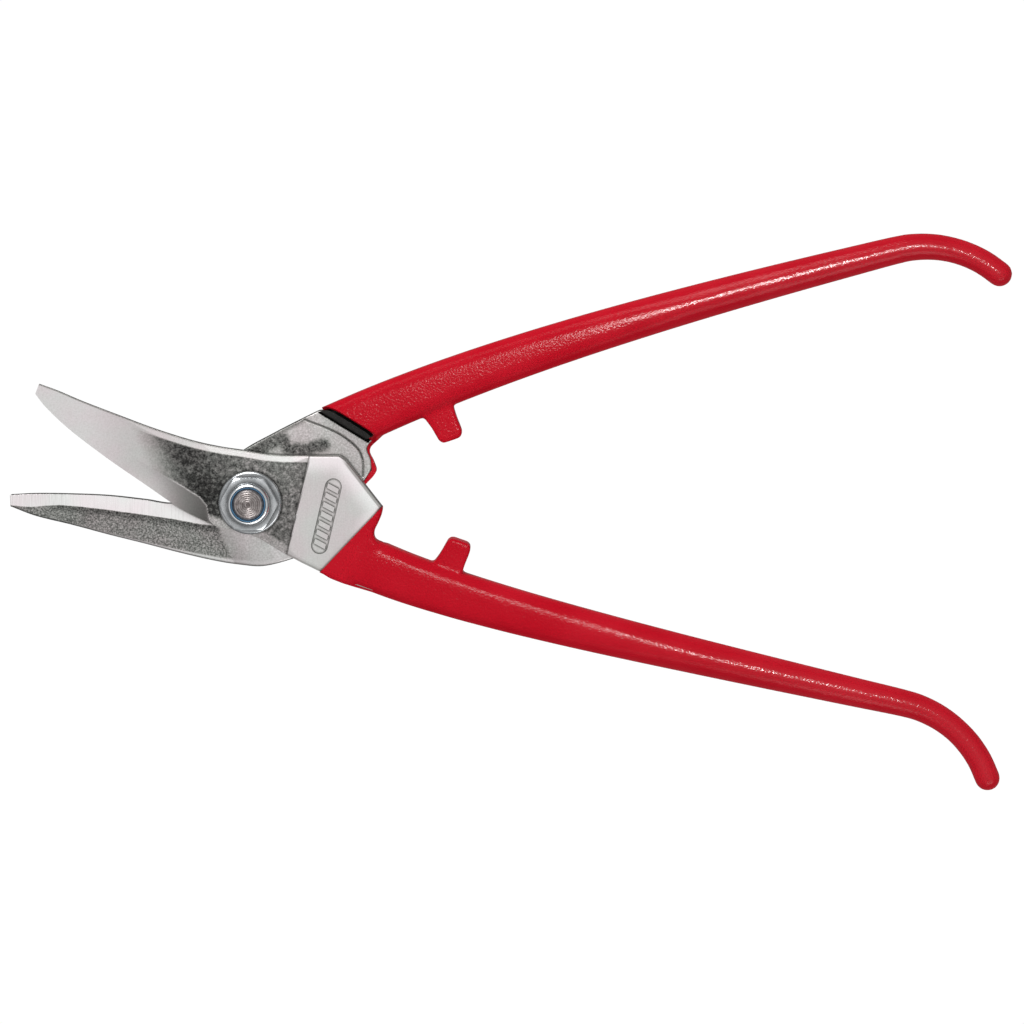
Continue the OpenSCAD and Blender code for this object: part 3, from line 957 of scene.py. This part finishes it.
def world():
    """An even studio surround, a little darker near the horizon."""
    bpy.context.scene.world = bpy.data.worlds.new("studio")
    bpy.context.scene.world.use_nodes = True
    tree = bpy.context.scene.world.node_tree
    place = tree.nodes.new("ShaderNodeTexCoord")
    split = tree.nodes.new("ShaderNodeSeparateXYZ")
    ramp = tree.nodes.new("ShaderNodeValToRGB")
    ramp.color_ramp.elements.new(0.6)
    for element, (height, grey) in zip(ramp.color_ramp.elements, ((0.35, 0.14), (0.62, 0.42), (1.0, 0.74))):
        element.position = height
        element.color = (grey, grey, grey, 1)
    tree.links.new(place.outputs["Generated"], split.inputs[0])
    tree.links.new(split.outputs["Z"], ramp.inputs[0])
    tree.links.new(ramp.outputs[0], tree.nodes["Background"].inputs["Color"])
    tree.nodes["Background"].inputs["Strength"].default_value = 1.09


def camera():
    """Looks almost straight down on the nut side, from a long way off."""
    centre = Vector((66.2, -2.68, SHEAR_Z)) * MM
    lean = math.radians(3.6)
    lens, sensor, field = 150, 36, 260.1 * MM
    back = Vector((0, math.sin(lean), math.cos(lean)))
    data = bpy.data.cameras.new("camera")
    data.lens, data.sensor_width = lens, sensor
    data.clip_end = 10
    obj = bpy.data.objects.new("camera", data)
    obj.location = centre + back * (field * lens / sensor)
    obj.rotation_euler = (-lean, 0, 0)
    bpy.context.scene.collection.objects.link(obj)
    bpy.context.scene.camera = obj


def studio(glossy_pieces):
    """Soft light all round, and a small lamp overhead that draws the highlight along the coating."""
    world()
    lamp("key", (-150, 620, 520), (60, 0, 0), (420, 420), 4.4)
    lamp("fill", (350, -500, 500), (60, 0, 0), (600, 300), 1.2)
    sparkle = lamp("sparkle", (175, 170, 1080), (80, 0, 0), (60, 60), 13)
    sparkle.visible_diffuse = False
    sparkle.light_linking.receiver_collection = bpy.data.collections.new("glossy")
    for piece in glossy_pieces:
        sparkle.light_linking.receiver_collection.objects.link(piece)
    camera()
    view = bpy.context.scene.view_settings
    view.view_transform = "Standard"
    return floor()


# ---------------------------------------------------------------- assembly


def place(obj, body, node, material, slot, angle=30):
    """Finishes a piece and ties it to the frame."""
    clean(obj)
    shade(obj, angle)
    obj.data.materials.clear()
    obj.data.materials.append(material)
    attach(obj, body)
    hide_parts(node)


def main():
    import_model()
    steel = forged_steel()
    red = red_coating()
    zinc = zinc_plate()

    front = forging(front_head(), FRONT_HANDLE, FRONT_LUG, FRONT_STEP, -1)
    front_slab = coat_slab(FRONT_RIBBON[11:], (1,), FRONT_DIP, FRONT_Z - 2, PAD_Z + COAT)
    front_skin = grip(
        "front_grip_coating", front, FRONT_HANDLE, FRONT_LUG, front_slab, FRONT_DIP, FRONT_STEP, -1
    )
    combine(front, stamp(), "DIFFERENCE")
    rear = forging(rear_head(), REAR_HANDLE, REAR_LUG, REAR_STEP, 1)
    rear_slab = coat_slab(REAR_SLEEVE, (1,), REAR_DIP, BOLT_HEAD_H - COAT, REAR_Z + 2)
    rear_skin = grip(
        "rear_grip_coating", rear, REAR_HANDLE, REAR_LUG, rear_slab, REAR_DIP, REAR_STEP, 1
    )

    paint_front(front)
    paint_rear(rear)
    place(front, "front_half", "front_lever", steel, "forged_steel")
    place(rear, "rear_half", "rear_lever", steel, "forged_steel")
    place(front_skin, "front_half", "front_grip", red, "red_coating", 40)
    place(rear_skin, "rear_half", "rear_grip", red, "red_coating", 40)
    place(pivot_bolt(), "rear_half", "pivot_bolt", bolt_steel(), "bolt_steel")
    place(pivot_washer(), "rear_half", "pivot_washer", zinc, "zinc_plate", 50)
    place(lock_nut(), "rear_half", "lock_nut", zinc, "zinc_plate", 35)
    place(nut_insert(), "rear_half", "nut_insert", blue_nylon(), "blue_nylon", 50)

    studio((front_skin, rear_skin))


main()
